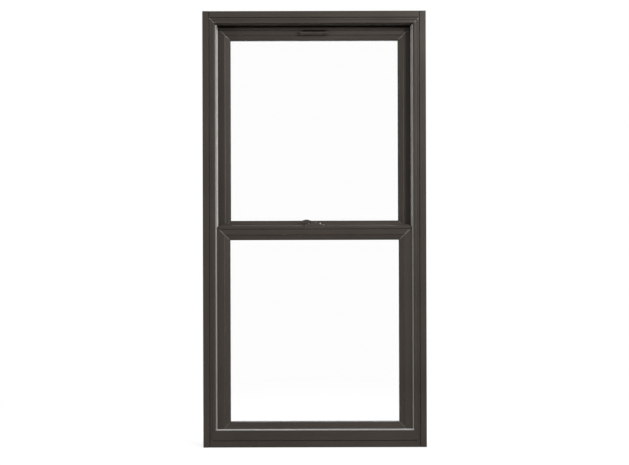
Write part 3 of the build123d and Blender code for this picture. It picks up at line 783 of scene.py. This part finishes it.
class WINDOW_OT_stage(bpy.types.Operator):
    """Set the floor, the even light, the lamps and the camera."""

    bl_idname = "window.set_stage"
    bl_label = "Stage"

    def execute(self, context):
        scene = context.scene
        stage = scene.window_stage
        scene.view_settings.view_transform = "Standard"
        self.set_world(scene, stage)
        self.add_floor(scene)
        middle = Vector((0, 0, CAD_BOX[1].z / 2))
        glinting = middle + UP * stage.glint_aim
        self.add_lamp(scene, "key_lamp", stage.key_place, middle, stage.key_size, stage.key)
        self.add_lamp(scene, "glint_lamp", stage.glint_place, glinting, stage.glint_size, stage.glint)
        self.add_lamp(scene, "right_lamp", stage.right_place, middle, stage.side_size, stage.side)
        self.add_lamp(scene, "left_lamp", stage.left_place, middle, stage.side_size, stage.side)
        self.add_lamp(scene, "rear_lamp", stage.rear_place, middle, stage.rear_size, stage.rear)
        self.add_camera(scene, stage)
        return {"FINISHED"}

    def set_world(self, scene, stage):
        """Light from above, seen as white by the camera, by gloss and through glass."""
        world = bpy.data.worlds.new("studio")
        world.use_nodes = True
        tree = world.node_tree
        way = add_node(tree, "ShaderNodeTexCoord").outputs["Generated"]
        height = add_node(tree, "ShaderNodeSeparateXYZ", {0: way}).outputs["Z"]
        level = add_node(tree, "ShaderNodeMapRange", {
            "Value": height, "From Min": LIGHT_FROM, "From Max": LIGHT_FULL,
            "To Min": UNDER_LIGHT, "To Max": stage.ambient})
        plain = add_node(tree, "ShaderNodeBackground", {"Color": WHITE, "Strength": level.outputs["Result"]})
        white = add_node(tree, "ShaderNodeBackground", {"Color": WHITE, "Strength": 1.0})
        mixed = add_node(tree, "ShaderNodeMixShader", {
            0: white_to_the_eye(tree), 1: plain.outputs["Background"], 2: white.outputs["Background"]})
        tree.links.new(mixed.outputs["Shader"], tree.nodes["World Output"].inputs["Surface"])
        scene.world = world

    def add_floor(self, scene):
        """A pale floor that keeps the shadow near the window and fades to white."""
        mesh = bmesh.new()
        bmesh.ops.create_grid(mesh, x_segments=4, y_segments=4, size=FLOOR_REACH)
        data = bpy.data.meshes.new("floor")
        mesh.to_mesh(data)
        mesh.free()
        material, tree, shader = start_material("pale_floor")
        seen = white_to_the_eye(tree)
        pale = between(tree, noise(tree, 3.0), 0.86, 0.90)
        drive(shader, Base_Color=blend(tree, seen, FLOOR_GREY, pale))
        shader.inputs["Roughness"].default_value = 0.9
        shader.inputs["Specular IOR Level"].default_value = 0.0
        place = add_node(tree, "ShaderNodeTexCoord").outputs["Object"]
        away = add_node(tree, "ShaderNodeVectorMath", {0: place}, operation="LENGTH")
        faded = add_node(tree, "ShaderNodeMapRange", {
            "Value": away.outputs["Value"], "From Min": FADE_FROM, "From Max": FADE_TO,
            "To Min": FADE_NEAR, "To Max": 1.0})
        white = add_node(tree, "ShaderNodeEmission", {"Color": WHITE, "Strength": 1.0})
        mixed = add_node(tree, "ShaderNodeMixShader", {
            0: maths(tree, "MULTIPLY", seen, faded.outputs["Result"]),
            1: shader.outputs["BSDF"], 2: white.outputs["Emission"]})
        tree.links.new(mixed.outputs["Shader"], tree.nodes["Material Output"].inputs["Surface"])
        data.materials.append(material)
        floor = bpy.data.objects.new("floor", data)
        scene.collection.objects.link(floor)

    def add_lamp(self, scene, name, place, aim, size, power):
        """A soft square lamp that points at the window."""
        light = bpy.data.lights.new(name, "AREA")
        light.energy = power
        light.size = size
        lamp = bpy.data.objects.new(name, light)
        lamp.location = place
        lamp.rotation_euler = (aim - Vector(place)).to_track_quat("-Z", "Y").to_euler()
        scene.collection.objects.link(lamp)

    def add_camera(self, scene, stage):
        """A camera square to the window, shifted to the photograph's framing."""
        data = bpy.data.cameras.new("camera")
        data.sensor_width = SENSOR
        data.lens = SENSOR * stage.distance / stage.scale / PHOTO_WIDE
        data.shift_y = (stage.horizon - PHOTO_HIGH / 2) / PHOTO_WIDE
        camera = bpy.data.objects.new("camera", data)
        camera.location = (0, CAD_BOX[0].y - stage.distance, stage.eye)
        camera.rotation_euler = (math.radians(90), stage.roll, 0)
        scene.collection.objects.link(camera)
        scene.camera = camera


STEPS = (
    WINDOW_OT_stage,
    WINDOW_OT_frame,
    WINDOW_OT_sashes,
    WINDOW_OT_glazing,
    WINDOW_OT_seals,
    WINDOW_OT_lock,
    WINDOW_OT_latches,
    WINDOW_OT_pull,
    WINDOW_OT_balances,
)
GROUPS = {"window_finish": WindowFinish, "window_detail": WindowDetail, "window_stage": WindowStage}


class WINDOW_PT_panel(bpy.types.Panel):
    """The window's finishes, small sizes and steps."""

    bl_idname = "WINDOW_PT_panel"
    bl_label = "Double-hung window"
    bl_space_type = "VIEW_3D"
    bl_region_type = "UI"
    bl_category = "Window"

    def draw(self, context):
        for name in GROUPS:
            group = getattr(context.scene, name)
            column = self.layout.column()
            for key in group.__annotations__:
                column.prop(group, key)
        for step in STEPS:
            self.layout.operator(step.bl_idname)


def register():
    """Add the settings, the steps and the panel."""
    for name, group in GROUPS.items():
        bpy.utils.register_class(group)
        setattr(bpy.types.Scene, name, bpy.props.PointerProperty(type=group))
    for step in STEPS:
        bpy.utils.register_class(step)
    bpy.utils.register_class(WINDOW_PT_panel)


def unregister():
    """Take them away again."""
    bpy.utils.unregister_class(WINDOW_PT_panel)
    for step in reversed(STEPS):
        bpy.utils.unregister_class(step)
    for name, group in reversed(GROUPS.items()):
        delattr(bpy.types.Scene, name)
        bpy.utils.unregister_class(group)


def main():
    """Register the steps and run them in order."""
    register()
    bpy.ops.window.set_stage()
    bpy.ops.window.dress_frame()
    bpy.ops.window.dress_sashes()
    bpy.ops.window.dress_glazing()
    bpy.ops.window.dress_seals()
    bpy.ops.window.dress_lock()
    bpy.ops.window.dress_latches()
    bpy.ops.window.dress_pull()
    bpy.ops.window.dress_balances()


if __name__ == "__main__":
    main()
